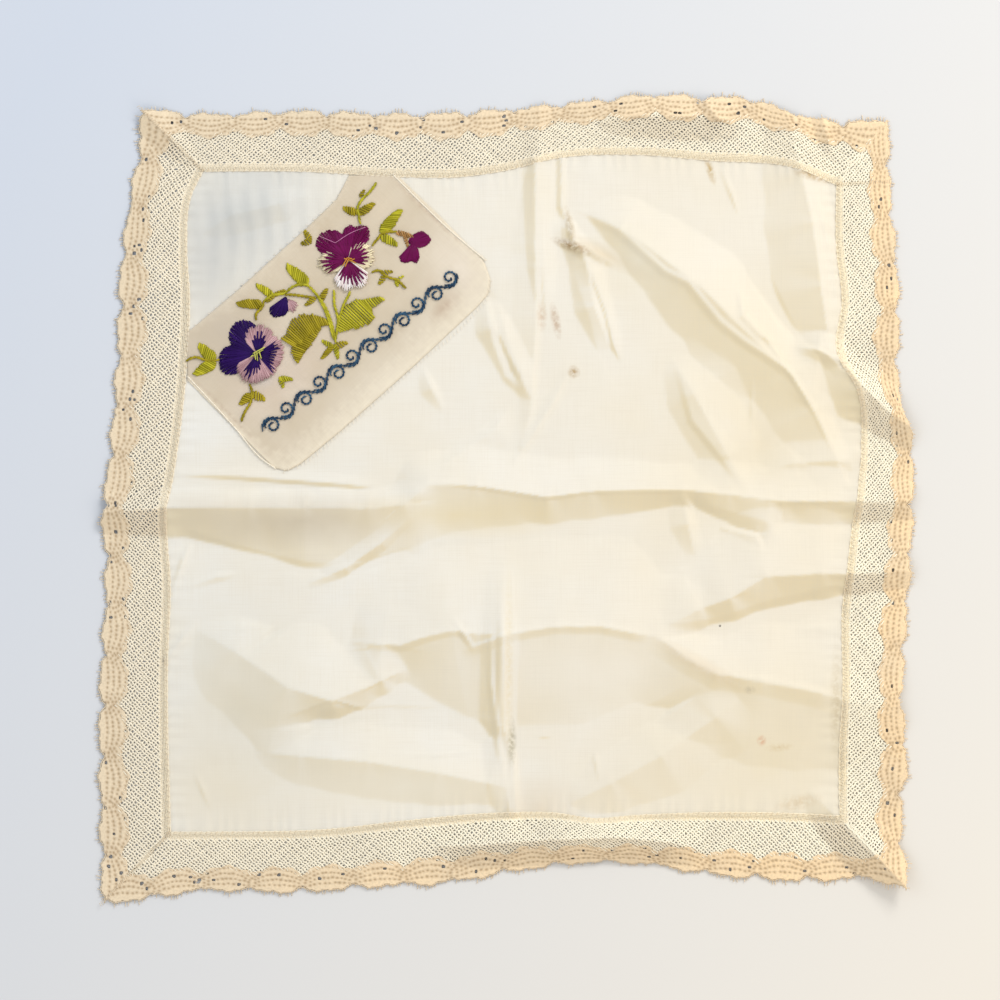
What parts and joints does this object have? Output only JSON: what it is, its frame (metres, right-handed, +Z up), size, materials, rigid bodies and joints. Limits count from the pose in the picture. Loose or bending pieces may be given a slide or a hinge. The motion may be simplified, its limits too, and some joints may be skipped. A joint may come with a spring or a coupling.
{
  "type": "lace-edged handkerchief",
  "caption": "Square sheer handkerchief with a scalloped lace edging and an embroidered corner panel, lying loosely spread with soft folds.",
  "frame": {"origin": "middle of the footprint, on the surface that the cloth lies on", "axes": "+Z up, away from the surface; +Y towards the top edge as it is seen from above with the embroidered corner at the top left; +X towards the right edge"},
  "size_m": [0.2959, 0.2931, 0.0081],
  "materials": {
    "ground_cloth": "fine sheer plain weave, cream, softly lustrous, with faint stains",
    "panel_cloth": "sheer tan organdie with floss embroidery",
    "lace": "ecru cotton bobbin lace, matt thread"
  },
  "bodies": {
    "root": {"ground": "ground_cloth", "panel": "panel_cloth", "lace_top": "lace", "lace_right": "lace", "lace_bottom": "lace", "lace_left": "lace"}
  },
  "joints": []
}
